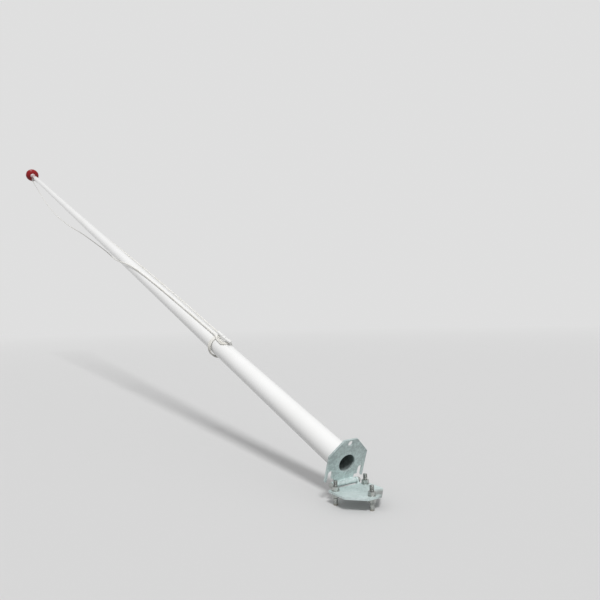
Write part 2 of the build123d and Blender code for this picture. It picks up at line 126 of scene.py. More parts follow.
# Turn a profile of (radius, height) round an axis: centre + height * axis + radius * (cos u * sideways +
# sin u * other), where other is square to both
def turnedPiece(name, profile, centre, axis, sideways, segments, closed=True):
    profile = np.asarray(profile, float)
    other = np.cross(axis, sideways)
    turn = np.linspace(0.0, 2 * np.pi, segments, endpoint=False)
    ring = np.cos(turn)[:, None] * sideways + np.sin(turn)[:, None] * other
    points = centre + profile[:, 1, None, None] * axis + profile[:, 0, None, None] * ring[None]
    piece = linkMesh(name, points, gridFaces(len(profile), segments, closeRows=closed))
    return tidySurface(piece)


# Points on an arc: centre + radius * (sin angle, cos angle), the angle measured from the axis
def arcPoints(centre, radius, start, end, count):
    angle = np.radians(np.linspace(start, end, count))
    return np.stack([centre[0] + radius * np.sin(angle), centre[1] + radius * np.cos(angle)], axis=1)


# Give a piece its finish, the body it rides on, and the nodes it stands for
def dress(piece, body, finish, slot, *nodes):
    piece.data.materials.clear()
    piece.data.materials.append(finish)
    if nodes:
        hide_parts(*nodes)
    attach(piece, body)
    return piece


# Material helpers

def newFinish(name):
    finish = bpy.data.materials.new(name)
    finish.use_nodes = True
    return finish, finish.node_tree.nodes, finish.node_tree.links


def objectPlace(nodes):
    return nodes.new("ShaderNodeTexCoord").outputs["Object"]


def splitPlace(nodes, links, place):
    parts = nodes.new("ShaderNodeSeparateXYZ")
    links.new(place, parts.inputs["Vector"])
    return parts.outputs


def objectPattern(nodes, links, kind, scale, **sockets):
    texture = nodes.new(kind)
    texture.inputs["Scale"].default_value = scale
    for socket, value in sockets.items():
        texture.inputs[socket].default_value = value
    links.new(objectPlace(nodes), texture.inputs["Vector"])
    return texture


def noise(nodes, links, scale, **sockets):
    return objectPattern(nodes, links, "ShaderNodeTexNoise", scale, **sockets).outputs["Fac"]


def grey(value):
    return (value, value, value)


# Colours at stops along a value
def ramp(nodes, links, source, stops):
    node = nodes.new("ShaderNodeValToRGB")
    node.color_ramp.elements[0].position = stops[0][0]
    node.color_ramp.elements[0].color = (*stops[0][1], 1)
    node.color_ramp.elements[1].position = stops[-1][0]
    node.color_ramp.elements[1].color = (*stops[-1][1], 1)
    for position, colour in stops[1:-1]:
        node.color_ramp.elements.new(position).color = (*colour, 1)
    links.new(source, node.inputs["Fac"])
    return node.outputs["Color"]


def greyRamp(nodes, links, source, stops):
    return ramp(nodes, links, source, [(stop, grey(value)) for stop, value in stops])


# A value carried from one range to another, and held at its ends
def mapRange(nodes, links, source, start, end, startsAt=0.0, endsAt=1.0):
    node = nodes.new("ShaderNodeMapRange")
    for socket, value in (("From Min", start), ("From Max", end), ("To Min", startsAt), ("To Max", endsAt)):
        node.inputs[socket].default_value = value
    links.new(source, node.inputs["Value"])
    return node


def mathNode(nodes, links, operation, *values):
    node = nodes.new("ShaderNodeMath")
    node.operation = operation
    for socket, value in zip(node.inputs, values):
        if isinstance(value, (int, float)):
            socket.default_value = value
        else:
            links.new(value, socket)
    return node.outputs[0]


def blendColour(nodes, links, factor, first, second, mode="MIX"):
    node = nodes.new("ShaderNodeMix")
    node.data_type = "RGBA"
    node.blend_type = mode
    for socket, value in ((node.inputs[0], factor), (node.inputs[6], first), (node.inputs[7], second)):
        if isinstance(value, (int, float)):
            socket.default_value = value
        elif isinstance(value, tuple):
            socket.default_value = (*value, 1)
        else:
            links.new(value, socket)
    return node.outputs[2]


def bump(nodes, links, height, strength, distance, shader):
    node = nodes.new("ShaderNodeBump")
    node.inputs["Strength"].default_value = strength
    node.inputs["Distance"].default_value = distance
    links.new(height, node.inputs["Height"])
    links.new(node.outputs["Normal"], shader.inputs["Normal"])


# Pole: its sizes come first, because the rope and the knob follow it
poleSettings = {"length": 9.0, "footRadius": 0.050, "tipRadius": 0.030, "wall": 0.005, "rim": 0.0018,
                "segments": 128, "rows": 90, "rimSteps": 6}


# Radius of the pole: it falls evenly from foot to tip
def poleRadius(along):
    taper = poleSettings["footRadius"] - poleSettings["tipRadius"]
    return poleSettings["footRadius"] - along * taper / poleSettings["length"]


# Halyard: one rope from the cleat's stem up to the sheave and back down to turns round the pole
halyardSettings = {
    "diameter": 0.008,
    "ringStep": 0.0031,
    "sides": 12,
    "splineSteps": 160,
    "stemMiddle": 1.127,
    "stemRun": 0.022,
    "stemGap": 0.0009,
    "stemSides": (0.0156, 0.0199, 0.0240, 0.0288),
    "stemPoints": 25,
    "stemArcSteps": 6,
    "stemRunSteps": 3,
    "poleTurns": 2.42,
    "poleTurnPoints": 14,
    "poleTurnFrom": 12.0,
    "poleTurnRadius": 0.0567,
    "poleTurnUneven": 0.0008,
    "poleTurnUnevenRate": 0.37,
    "poleTurnUnevenPhase": 0.6,
    "poleTurnPitch": 0.0088,
    "poleTurnStart": 1.1925,
    "poleTurnSag": 0.0029,
    "poleTurnTilt": 6.3,
}


# Places given along the pole from its foot, up from its axis, and to its left as seen from the foot
def besidePole(along, up, left):
    return (poleFoot + np.multiply.outer(along, alongPole) + np.multiply.outer(up, upPlate)
            - np.multiply.outer(left, acrossPlate))


# A route's places on the pole, each given by its distance along the pole, its angle round it from the cleat
# and the gap under the rope: pole's radius + rope's radius + gap, times (cos angle up, sin angle left)
def onPole(route, settings):
    along, around, gap = np.array(route).T
    reach = poleRadius(along) + settings["diameter"] / 2 + gap
    return besidePole(along, reach * np.cos(np.radians(around)), reach * np.sin(np.radians(around)))


# The rope's end, inside the turns round the cleat's stem: along the pole and to its left
stemEnd = [(1.158, -0.0086), (1.136, -0.0115), (1.1145, -0.0144)]


# Turns round the cleat's stem, flat on the pole: half circles joined by straight runs, each half turn a
# little wider than the one before. Up = root of (reach squared - left squared), which keeps the gap even
def stemTurns(settings):
    arcSteps, runSteps = settings["stemArcSteps"], settings["stemRunSteps"]
    half, lap = np.divmod(np.arange(settings["stemPoints"]), arcSteps + runSteps)
    sides = np.array(settings["stemSides"])
    radius = (sides[half] + sides[half + 1]) / 2
    offset = (sides[half + 1] - sides[half]) / 2
    end = 1 - 2 * (half % 2)
    turn = np.radians(180.0 / arcSteps * np.minimum(lap, arcSteps) - 90.0)
    run = settings["stemRun"] * (1 - 2 / runSteps * np.maximum(lap - arcSteps, 0))
    endAlong, endLeft = np.array(stemEnd).T
    along = np.concatenate([endAlong, settings["stemMiddle"] - end * (run + radius * np.cos(turn))])
    left = np.concatenate([endLeft, end * (offset + radius * np.sin(turn))])
    reach = poleRadius(along) + settings["diameter"] / 2 + settings["stemGap"]
    return besidePole(along, np.sqrt(reach ** 2 - left ** 2), left)


# Loose turns round the pole: a helix whose circle hangs down and leans, its radius wandering by a slow sine
# so that no two turns are quite alike
def poleTurns(settings):
    steps = round(settings["poleTurns"] * settings["poleTurnPoints"])
    turn = np.radians(np.arange(steps + 1) * 360.0 / settings["poleTurnPoints"] + settings["poleTurnFrom"])
    wander = np.sin(turn * settings["poleTurnUnevenRate"] + settings["poleTurnUnevenPhase"])
    radius = settings["poleTurnRadius"] + settings["poleTurnUneven"] * wander
    slope = math.tan(math.radians(settings["poleTurnTilt"]))
    along = (settings["poleTurnStart"] - settings["poleTurnPitch"] * turn / (2 * math.pi)
             + radius * np.cos(turn) * slope)
    up = radius * np.cos(turn) - settings["poleTurnSag"]
    return besidePole(along, up, radius * np.sin(turn))


# From the stem turns over the pole's turns, along the pole, round to its underside, and slack to the tip
upRoute = [
    (1.122, 31.6, 0.0010), (1.141, 31.6, 0.0012), (1.154, 30.4, 0.0032), (1.165, 27.5, 0.0088),
    (1.177, 24.0, 0.0126), (1.208, 19.5, 0.0126), (1.225, 18, 0.0066), (1.243, 17.5, 0.0040),
    (1.330, 18, 0.004), (1.620, 21, 0.005), (2.100, 27, 0.005), (2.520, 36, 0.006), (2.800, 52, 0.007),
    (2.970, 77, 0.008), (3.120, 102, 0.008), (3.280, 126, 0.008), (3.440, 150, 0.009), (3.660, 170, 0.018),
    (3.950, 178, 0.036), (4.350, 180, 0.060), (4.830, 180, 0.088), (5.290, 180, 0.127), (5.800, 180, 0.163),
    (6.350, 180, 0.189), (6.900, 180, 0.192), (7.400, 180, 0.177), (7.900, 180, 0.143), (8.350, 180, 0.106),
    (8.680, 180, 0.083), (8.890, 180, 0.066),
]
# Round the sheave, in the upright plane through the pole: along the pole and up from its axis
sheaveRoute = [(8.972, -0.088), (9.016, -0.088), (9.016, -0.048), (8.972, -0.048)]
# Back from the sheave, winding half round the pole, to the start of the turns beside the cleat
downRoute = [
    (8.500, 186, 0.009), (7.900, 198, 0.007), (7.200, 212, 0.007), (6.400, 229, 0.006), (5.600, 245, 0.006),
    (4.800, 262, 0.006), (4.000, 279, 0.006), (3.200, 295, 0.006), (2.500, 310, 0.006), (1.900, 323, 0.006),
    (1.500, 332, 0.005), (1.300, 336, 0.004), (1.262, 336.6, 0.0038), (1.2275, 337, 0.0034),
    (1.2175, 337.2, 0.0030), (1.2082, 340.0, 0.0026), (1.2016, 347.2, 0.0021), (1.1993, 357.2, 0.0017),
]
# The end climbs over the stem turns on the far side and is tucked in against the stem
tuckRoute = [
    (1.1590, 190, 0.0084), (1.1525, 213, 0.0078), (1.1450, 236, 0.0065), (1.1370, 258, 0.0045),
    (1.1290, 278, 0.0025), (1.1225, 296, 0.0015), (1.1180, 311, 0.0018), (1.1160, 321, 0.0070),
    (1.1150, 331, 0.0110), (1.1150, 342, 0.0112), (1.1150, 352, 0.0106),
]


def halyardRoute(settings):
    rising, falling, ending = (onPole(route, settings) for route in (upRoute, downRoute, tuckRoute))
    sheaveAlong, sheaveUp = np.array(sheaveRoute).T
    bight = besidePole(sheaveAlong, sheaveUp, np.zeros(len(sheaveRoute)))
    return np.concatenate([stemTurns(settings), rising, bight, falling, poleTurns(settings), ending])


# The smooth line: a NURBS spline over the route, read back as closely spaced points
def splineLine(name, route, resolution):
    data = bpy.data.curves.new(name, "CURVE")
    data.dimensions = "3D"
    spline = data.splines.new("NURBS")
    spline.points.add(len(route) - 1)
    spline.points.foreach_set("co", np.column_stack([route, np.ones(len(route))]).ravel())
    spline.order_u = 3
    spline.use_endpoint_u = True
    spline.resolution_u = resolution
    data.resolution_u = resolution
    guide = bpy.data.objects.new(name, data)
    bpy.context.collection.objects.link(guide)
    bpy.context.view_layer.update()
    line = bpy.data.meshes.new_from_object(guide)
    points = np.zeros(len(line.vertices) * 3)
    line.vertices.foreach_get("co", points)
    bpy.data.meshes.remove(line)
    bpy.data.objects.remove(guide)
    bpy.data.curves.remove(data)
    return points.reshape(-1, 3)


# How far along a line each of its points is
def runningLength(line):
    return np.concatenate([[0.0], np.cumsum(np.linalg.norm(np.diff(line, axis=0), axis=1))])


# Even steps along a line by its running length, and that length
def evenSteps(points, step):
    length = runningLength(points)
    wanted = np.linspace(0.0, length[-1], int(round(length[-1] / step)) + 1)
    return np.stack([np.interp(wanted, length, points[:, axis]) for axis in range(3)], axis=1), length[-1]


# Directions along a line, each one unit long
def directions(line):
    tangent = np.gradient(line, axis=0)
    return tangent / np.linalg.norm(tangent, axis=1, keepdims=True)


# A round tube: line + radius * (cos a * side + sin a * other), where side leans from the pole's surface
# outwards, and its two ends close to a point. Its UV map runs once round and one unit per diameter along
def ropeTube(name, line, radius, sides):
    tangent = directions(line)
    fromAxis = line - poleFoot
    fromAxis = fromAxis - (fromAxis @ alongPole)[:, None] * alongPole
    outward = fromAxis / np.linalg.norm(fromAxis, axis=1, keepdims=True)
    side = outward - np.sum(outward * tangent, axis=1, keepdims=True) * tangent
    side /= np.linalg.norm(side, axis=1, keepdims=True)
    other = np.cross(tangent, side)
    turn = np.linspace(0.0, 2 * np.pi, sides, endpoint=False)
    girth = np.full(len(line), radius)
    girth[[0, -1]] = 0.0
    ring = np.cos(turn)[None, :, None] * side[:, None] + np.sin(turn)[None, :, None] * other[:, None]
    points = line[:, None] + girth[:, None, None] * ring
    piece = linkMesh(name, points, gridFaces(len(line), sides))
    running = runningLength(line)
    layer = piece.data.uv_layers.new(name="ropeLay")
    rows = np.arange(len(line) - 1)[:, None]
    columns = np.arange(sides)[None, :]
    u = np.stack(np.broadcast_arrays(columns, columns + 1, columns + 1, columns), axis=-1) / sides
    v = np.stack(np.broadcast_arrays(rows, rows, rows + 1, rows + 1), axis=-1)
    u, v = np.broadcast_arrays(u, v)
    unwrapped = np.stack([u, running[v] / (2 * radius)], axis=-1)
    layer.data.foreach_set("uv", unwrapped.astype(np.float32).ravel())
    return tidySurface(piece, hardAngle=180.0)


# Braided polyester: two sets of strands cross in a lozenge pattern on the rope's own surface
braidSettings = {
    "strands": 8,
    "crossings": 2.6,
    # The strand colours run from the valleys between strands, darkened with painted shade, up to their pale
    # crowns
    "strand": [(0.0, (0.64, 0.63, 0.59)), (0.3, (0.87, 0.86, 0.83)), (1.0, (0.94, 0.93, 0.90))],
    "dirtScale": 9.0,
    "dirt": [(0.35, (0.90, 0.89, 0.85)), (0.6, (1.0, 1.0, 1.0))],
    "roughness": 0.86,
    "sheen": 0.25,
    "sheenRoughness": 0.5,
    "bump": 0.5,
    "bumpDepth": 0.0006,
}


def makeRopeFinish(settings):
    finish, nodes, links = newFinish("braidedRope")
    shader = nodes["Principled BSDF"]
    lay = nodes.new("ShaderNodeUVMap")
    lay.uv_map = "ropeLay"
    parts = splitPlace(nodes, links, lay.outputs["UV"])
    around = mathNode(nodes, links, "MULTIPLY", parts["X"], settings["strands"] * 2 * math.pi)
    along = mathNode(nodes, links, "MULTIPLY", parts["Y"], settings["crossings"] * 2 * math.pi)
    rightHand = mathNode(nodes, links, "SINE", mathNode(nodes, links, "ADD", around, along))
    leftHand = mathNode(nodes, links, "SINE", mathNode(nodes, links, "SUBTRACT", around, along))
    crossing = mathNode(nodes, links, "MULTIPLY", rightHand, leftHand)
    height = mathNode(nodes, links, "ADD", mathNode(nodes, links, "MULTIPLY", crossing, 0.5), 0.5)
    # Painted shade: the strands are pale on their crowns and darker in the valleys between them
    strand = ramp(nodes, links, height, settings["strand"])
    dirt = ramp(nodes, links, noise(nodes, links, settings["dirtScale"], Detail=5.0), settings["dirt"])
    links.new(blendColour(nodes, links, 1.0, strand, dirt, "MULTIPLY"), shader.inputs["Base Color"])
    shader.inputs["Roughness"].default_value = settings["roughness"]
    shader.inputs["Sheen Weight"].default_value = settings["sheen"]
    shader.inputs["Sheen Roughness"].default_value = settings["sheenRoughness"]
    bump(nodes, links, height, settings["bump"], settings["bumpDepth"], shader)
    return finish


ropeFinish = makeRopeFinish(braidSettings)
smoothLine = splineLine("halyardLine", halyardRoute(halyardSettings), halyardSettings["splineSteps"])
ropeLine, ropeLength = evenSteps(smoothLine, halyardSettings["ringStep"])
halyard = ropeTube("halyard", ropeLine, halyardSettings["diameter"] / 2, halyardSettings["sides"])
dress(halyard, "pole", ropeFinish, "rope", "halyard_slack", "halyard_fall", "pole_turns", "cleat_turns")
print("halyard laid:", round(ropeLength, 3), "m in", len(ropeLine), "rings")


# Finishes of the hard pieces

# Hot-dip galvanising: flat crystals of different greys, under weathering in clouds about 100 mm wide, and
# darker higher up and lighter low down: painted shade
galvanisedSettings = {
    "crystalScale": 150.0,
    "crystalShare": 0.14,
    "cloudScale": 9.0,
    "cloudShare": 0.8,
    # Painted shade by height: how much is added to the tone at the bottom and at the top of this range
    "paintedShadeFrom": 0.035,
    "paintedShadeTo": 0.105,
    "paintedShadeLow": 0.125,
    "paintedShadeHigh": 0.025,
    "shades": [(0.38, (0.39, 0.46, 0.455)), (0.56, (0.59, 0.69, 0.68)), (0.76, (0.73, 0.82, 0.815))],
    "gloss": [(0.35, 0.44), (0.80, 0.60)],
    "metallic": 0.35,
    "grainScale": 260.0,
    "grain": 0.25,
    "grainDepth": 0.0006,
}
# A darker, rougher patch on the lower plate's far corner, with a ragged edge
darkPatchSettings = {"centre": (0.078, 0.052, 0.008), "inner": 0.016, "outer": 0.050, "cover": 0.75,
               "raggedScale": 70.0, "ragged": 0.05, "colour": (0.235, 0.225, 0.215), "roughness": 0.9}


# How much of the zinc the dark patch covers, falling with the distance from its centre, give or take some
# noise
def darkPatchCover(nodes, links, settings):
    away = nodes.new("ShaderNodeVectorMath")
    away.operation = "DISTANCE"
    away.inputs[1].default_value = settings["centre"]
    links.new(objectPlace(nodes), away.inputs[0])
    edge = noise(nodes, links, settings["raggedScale"], Detail=6.0)
    ragged = mathNode(nodes, links, "MULTIPLY_ADD", edge, settings["ragged"], -settings["ragged"] / 2)
    distance = mathNode(nodes, links, "ADD", away.outputs["Value"], ragged)
    cover = mapRange(nodes, links, distance, settings["inner"], settings["outer"], settings["cover"], 0.0)
    return cover.outputs["Result"]


def makeGalvanised(name, light, settings):
    finish, nodes, links = newFinish(name)
    shader = nodes["Principled BSDF"]
    crystals = objectPattern(nodes, links, "ShaderNodeTexVoronoi", settings["crystalScale"])
    tone = nodes.new("ShaderNodeSeparateColor")
    links.new(crystals.outputs["Color"], tone.inputs["Color"])
    clouds = noise(nodes, links, settings["cloudScale"], Detail=7.0, Roughness=0.62)
    mixed = mathNode(nodes, links, "ADD",
                     mathNode(nodes, links, "MULTIPLY", tone.outputs[0], settings["crystalShare"]),
                     mathNode(nodes, links, "MULTIPLY", clouds, settings["cloudShare"]))
    # Painted shade: the zinc is made lighter low down and darker higher up, by height
    height = splitPlace(nodes, links, objectPlace(nodes))["Z"]
    paintedShade = mapRange(nodes, links, height, settings["paintedShadeFrom"], settings["paintedShadeTo"],
                       settings["paintedShadeLow"], settings["paintedShadeHigh"])
    mixed = mathNode(nodes, links, "ADD", mixed, paintedShade.outputs["Result"])
    # The light factor darkens every tone, which gives a copy of this finish with painted shade
    shades = [(stop, tuple(light * part for part in shade)) for stop, shade in settings["shades"]]
    # A darker, rougher patch on the lower plate's far corner
    darkPatch = darkPatchCover(nodes, links, darkPatchSettings)
    colour = blendColour(nodes, links, darkPatch, ramp(nodes, links, mixed, shades), darkPatchSettings["colour"])
    links.new(colour, shader.inputs["Base Color"])
    gloss = greyRamp(nodes, links, mixed, settings["gloss"])
    gloss = blendColour(nodes, links, darkPatch, gloss, grey(darkPatchSettings["roughness"]))
    links.new(gloss, shader.inputs["Roughness"])
    shader.inputs["Metallic"].default_value = settings["metallic"]
    grain = noise(nodes, links, settings["grainScale"], Detail=4.0)
    bump(nodes, links, grain, settings["grain"], settings["grainDepth"], shader)
    return finish


# Zinc-plated fasteners: shinier than the plates, dulled in patches, darkened with painted shade in the
# thread's roots, with some dried dirt low on the studs
zincSettings = {
    "cloudScale": 90.0,
    "plating": [(0.3, (0.30, 0.32, 0.31)), (0.55, (0.46, 0.48, 0.46)), (0.8, (0.62, 0.64, 0.62))],
    # The colour of the painted shade in the thread's roots
    "paintedRootShade": (0.16, 0.16, 0.15),
    "gloss": [(0.3, 0.36), (0.7, 0.20)],
    "metallic": 0.9,
    "dirt": (0.30, 0.26, 0.20),
    "dirtRoughness": 0.9,
    "dirtTop": -0.044,
    "dirtFull": -0.056,
    "dirtRagged": 0.020,
}


def makeZinc(settings):
    finish, nodes, links = newFinish("zincPlated")
    shader = nodes["Principled BSDF"]
    clouds = noise(nodes, links, settings["cloudScale"], Detail=5.0)
    # Painted shade in the thread's roots, read from the stud's attribute
    root = nodes.new("ShaderNodeAttribute")
    root.attribute_name = "paintedRootShade"
    plating = ramp(nodes, links, clouds, settings["plating"])
    plating = blendColour(nodes, links, root.outputs["Fac"], plating, settings["paintedRootShade"])
    height = splitPlace(nodes, links, objectPlace(nodes))["Z"]
    ragged = mathNode(nodes, links, "MULTIPLY", clouds, -settings["dirtRagged"])
    splash = mathNode(nodes, links, "ADD", height, ragged)
    dirt = mapRange(nodes, links, splash, settings["dirtTop"], settings["dirtFull"]).outputs["Result"]
    links.new(blendColour(nodes, links, dirt, plating, settings["dirt"]), shader.inputs["Base Color"])
    gloss = greyRamp(nodes, links, clouds, settings["gloss"])
    gloss = blendColour(nodes, links, dirt, gloss, grey(settings["dirtRoughness"]))
    links.new(gloss, shader.inputs["Roughness"])
    clean = mathNode(nodes, links, "SUBTRACT", 1.0, dirt)
    links.new(mathNode(nodes, links, "MULTIPLY", clean, settings["metallic"]), shader.inputs["Metallic"])
    return finish


# Gel coat of the pole: white and glossy, with the faint long waves of the glass under it
gelCoatSettings = {
    "tintScale": 3.0,
    "tint": [(0.3, (0.88, 0.88, 0.87)), (0.7, (0.93, 0.93, 0.93))],
    "roughness": 0.14,
    "coat": 0.6,
    "coatRoughness": 0.06,
    "waveScale": 26.0,
    "wave": 0.06,
    "waveDepth": 0.002,
}


def makeGelCoat(settings):
    finish, nodes, links = newFinish("whiteGelCoat")
    shader = nodes["Principled BSDF"]
    tint = ramp(nodes, links, noise(nodes, links, settings["tintScale"], Detail=4.0), settings["tint"])
    links.new(tint, shader.inputs["Base Color"])
    shader.inputs["Roughness"].default_value = settings["roughness"]
    shader.inputs["Coat Weight"].default_value = settings["coat"]
    shader.inputs["Coat Roughness"].default_value = settings["coatRoughness"]
    waves = noise(nodes, links, settings["waveScale"], Detail=2.0)
    bump(nodes, links, waves, settings["wave"], settings["waveDepth"], shader)
    return finish


# Moulded plastic: a colour that varies a little, under a fine grain
plasticSettings = {"tintScale": 30.0, "grainScale": 700.0, "grain": 0.12, "grainDepth": 0.0003}
whiteTint = [(0.3, (0.82, 0.82, 0.81)), (0.7, (0.89, 0.89, 0.88))]
redTint = [(0.3, (0.27, 0.003, 0.006)), (0.7, (0.34, 0.006, 0.010))]


def makePlastic(name, tint, roughness, shine, settings):
    finish, nodes, links = newFinish(name)
    shader = nodes["Principled BSDF"]
    clouds = noise(nodes, links, settings["tintScale"], Detail=5.0)
    links.new(ramp(nodes, links, clouds, tint), shader.inputs["Base Color"])
    shader.inputs["Roughness"].default_value = roughness
    shader.inputs["Specular IOR Level"].default_value = shine
    grain = noise(nodes, links, settings["grainScale"], Detail=2.0)
    bump(nodes, links, grain, settings["grain"], settings["grainDepth"], shader)
    return finish


# Truck: cast aluminium under a white coat that is worn thin in spots
castingSettings = {
    "wearScale": 140.0,
    "wear": [(0.66, 0.0), (0.72, 1.0)],
    "bare": (0.55, 0.55, 0.56),
    "paintScale": 25.0,
    "paint": [(0.3, (0.84, 0.84, 0.83)), (0.7, (0.90, 0.90, 0.89))],
    "roughness": 0.38,
    "grainScale": 900.0,
    "grain": 0.25,
    "grainDepth": 0.0003,
}


def makePaintedAluminium(settings):
    finish, nodes, links = newFinish("paintedAluminium")
    shader = nodes["Principled BSDF"]
    spots = noise(nodes, links, settings["wearScale"], Detail=6.0, Roughness=0.65)
    wear = greyRamp(nodes, links, spots, settings["wear"])
    paint = ramp(nodes, links, noise(nodes, links, settings["paintScale"], Detail=4.0), settings["paint"])
    links.new(blendColour(nodes, links, wear, paint, settings["bare"]), shader.inputs["Base Color"])
    links.new(wear, shader.inputs["Metallic"])
    shader.inputs["Roughness"].default_value = settings["roughness"]
    grain = noise(nodes, links, settings["grainScale"], Detail=3.0)
    bump(nodes, links, grain, settings["grain"], settings["grainDepth"], shader)
    return finish


galvanised = makeGalvanised("galvanisedSteel", light=1.0, settings=galvanisedSettings)
# The same finish at 0.45 of its brightness: painted shade for the spigot's shadowed inside
shadedGalvanised = makeGalvanised("shadedGalvanisedSteel", light=0.45, settings=galvanisedSettings)
zinc = makeZinc(zincSettings)
gelCoat = makeGelCoat(gelCoatSettings)
whitePlastic = makePlastic("whitePlastic", whiteTint, roughness=0.38, shine=0.5, settings=plasticSettings)
redPlastic = makePlastic("redPlastic", redTint, roughness=0.24, shine=0.35, settings=plasticSettings)
aluminium = makePaintedAluminium(castingSettings)
print("finishes mixed")


# The pole's wall: up its outside, over the tip and down its inside, with both rims rounded by arcs
def makePole(settings):
    wall, rim, length = settings["wall"], settings["rim"], settings["length"]
    foot, tip = settings["footRadius"], settings["tipRadius"]
    footRim = arcPoints((foot - rim, rim), rim, 180, 90, settings["rimSteps"])
    tipRim = arcPoints((tip - rim, length - rim), rim, 90, 0, settings["rimSteps"])
    heights = np.linspace(rim, length - rim, settings["rows"])[1:-1]
    outside = np.stack([poleRadius(heights), heights], axis=1)
    inside = np.stack([poleRadius(heights) - wall, heights], axis=1)[::-1]
    tipEdge, footEdge = [(tip - wall, length)], [(foot - wall, 0.0)]
    profile = np.concatenate([footRim, outside, tipRim, tipEdge, inside, footEdge])
    return turnedPiece("pole", profile, poleFoot, alongPole, upPlate, settings["segments"])


dress(makePole(poleSettings), "pole", gelCoat, "white_fibreglass", "pole_shaft")
print("pole turned")


# Knob: a crown arc and a side arc on each half, a shallow groove where the halves meet
knobSettings = {
    "radius": 0.098,
    "halfHeight": 0.062,
    "sideRadius": 0.045,
    "wall": 0.004,
    "seatRadius": 0.026,
    "seatHeight": 0.0243,
    "stemHole": 0.0143,
    "groove": 0.0010,
    "grooveWidth": 0.0012,
    "outerSteps": 28,
    "innerSteps": 12,
    "segments": 96,
}


# The crown and the side are circles that touch: crown radius = half height + drop, where the drop sets the
# crown's centre so far below the middle that both have one tangent. The groove is a bell curve of height
def knobArcs(settings, inset, count):
    sideCentre = settings["radius"] - settings["sideRadius"]
    rise = settings["halfHeight"] - settings["sideRadius"]
    drop = (sideCentre ** 2 - rise ** 2) / 2 / rise
    crown = settings["halfHeight"] + drop
    blendAngle = math.degrees(math.atan2(sideCentre, drop))
    seatAngle = math.degrees(math.asin(settings["seatRadius"] / crown))
    top = arcPoints((0.0, -drop), crown - inset, 0.0, blendAngle, count)
    side = arcPoints((sideCentre, 0.0), settings["sideRadius"] - inset, blendAngle, 180 - blendAngle,
                     count + 1)
    under = arcPoints((0.0, drop), crown - inset, 180 - blendAngle, 180 - seatAngle, count)
    outline = np.concatenate([top, side[1:-1], under])
    if inset == 0:
        outline[:, 0] -= settings["groove"] * np.exp(-(outline[:, 1] / settings["grooveWidth"]) ** 2)
    return outline


def makeKnob(settings):
    outer = knobArcs(settings, 0.0, settings["outerSteps"])
    inner = knobArcs(settings, settings["wall"], settings["innerSteps"])[::-1]
    seat = outer[-1, 1]
    bore = [(settings["stemHole"], seat), (settings["stemHole"], seat + settings["wall"])]
    profile = np.concatenate([outer, bore, inner])
    centre = poleFoot + (poleSettings["length"] + settings["seatHeight"] - seat) * alongPole
    return turnedPiece("poleKnob", profile, centre, alongPole, upPlate, settings["segments"], closed=False)


dress(makeKnob(knobSettings), "pole", redPlastic, "red_plastic", "knob")
print("knob turned")


# Anchor studs: a plain shank, then a ridge that climbs one pitch each turn, fading into the end's chamfer
studSettings = {
    "circle": 0.080,
    "spacing": 120,
    "shank": 0.008,
    "shankTop": -0.019,
    "top": 0.045,
    "crest": 0.00785,
    "depth": 0.0011,
    "pitch": 0.002,
    "flank": 2.4,
    "crestWidth": 0.15,
    "chamfer": 0.0015,
    "rowsPerPitch": 8,
    "segments": 40,
}


# Radius = crest - depth * root. The root is 0 on the ridge, grows with the distance from it along the stud,
# and stops at 1; the ridge's height rises by one pitch for each turn
def makeStud(number, settings):
    segments = settings["segments"]
    turn = np.linspace(0.0, 2 * np.pi, segments, endpoint=False)
    rows = int((settings["top"] - settings["shankTop"]) / settings["pitch"] * settings["rowsPerPitch"])
    height = np.linspace(settings["shankTop"], settings["top"], rows)
    phase = (height[:, None] / settings["pitch"] - turn[None, :] / (2 * np.pi)) % 1.0
    root = np.clip(np.abs(phase - 0.5) * settings["flank"] - settings["crestWidth"], 0.0, 1.0)
    fromTop = settings["top"] - height[:, None]
    thread = np.minimum(settings["crest"] - settings["depth"] * root,
                        settings["crest"] - settings["chamfer"] + fromTop)
    closing = np.zeros((1, segments))
    shank = np.full((2, segments), settings["shank"])
    radius = np.concatenate([closing, shank, thread, closing])
    root = np.concatenate([closing, 0 * shank, root, closing])
    height = np.concatenate([[floorHeight, floorHeight, settings["shankTop"]], height, [settings["top"]]])
    angle = math.radians(settings["spacing"] * (number - 1))
    x = settings["circle"] * math.cos(angle) + radius * np.cos(turn)
    y = settings["circle"] * math.sin(angle) + radius * np.sin(turn)
    points = np.stack([x, y, np.broadcast_to(height[:, None], x.shape)], axis=-1)
    piece = linkMesh(f"threadedStud{number}", points, gridFaces(len(height), segments))
    # The root is also kept on the points, to darken the thread's roots with painted shade
    shade = piece.data.attributes.new("paintedRootShade", "FLOAT", "POINT")
    shade.data.foreach_set("value", root.astype(np.float32).ravel())
    return tidySurface(piece, hardAngle=60.0)


for number in (1, 2, 3):
    dress(makeStud(number, studSettings), "base", zinc, "galvanised_steel", f"anchor_stud_{number}")
print("studs threaded")


# Softened pieces: the CAD shape, its triangles merged into whole faces, with its hard edges rounded
softSettings = {"merge": 3e-6, "flatAngle": 0.5, "hardAngle": 28.0, "segments": 2}


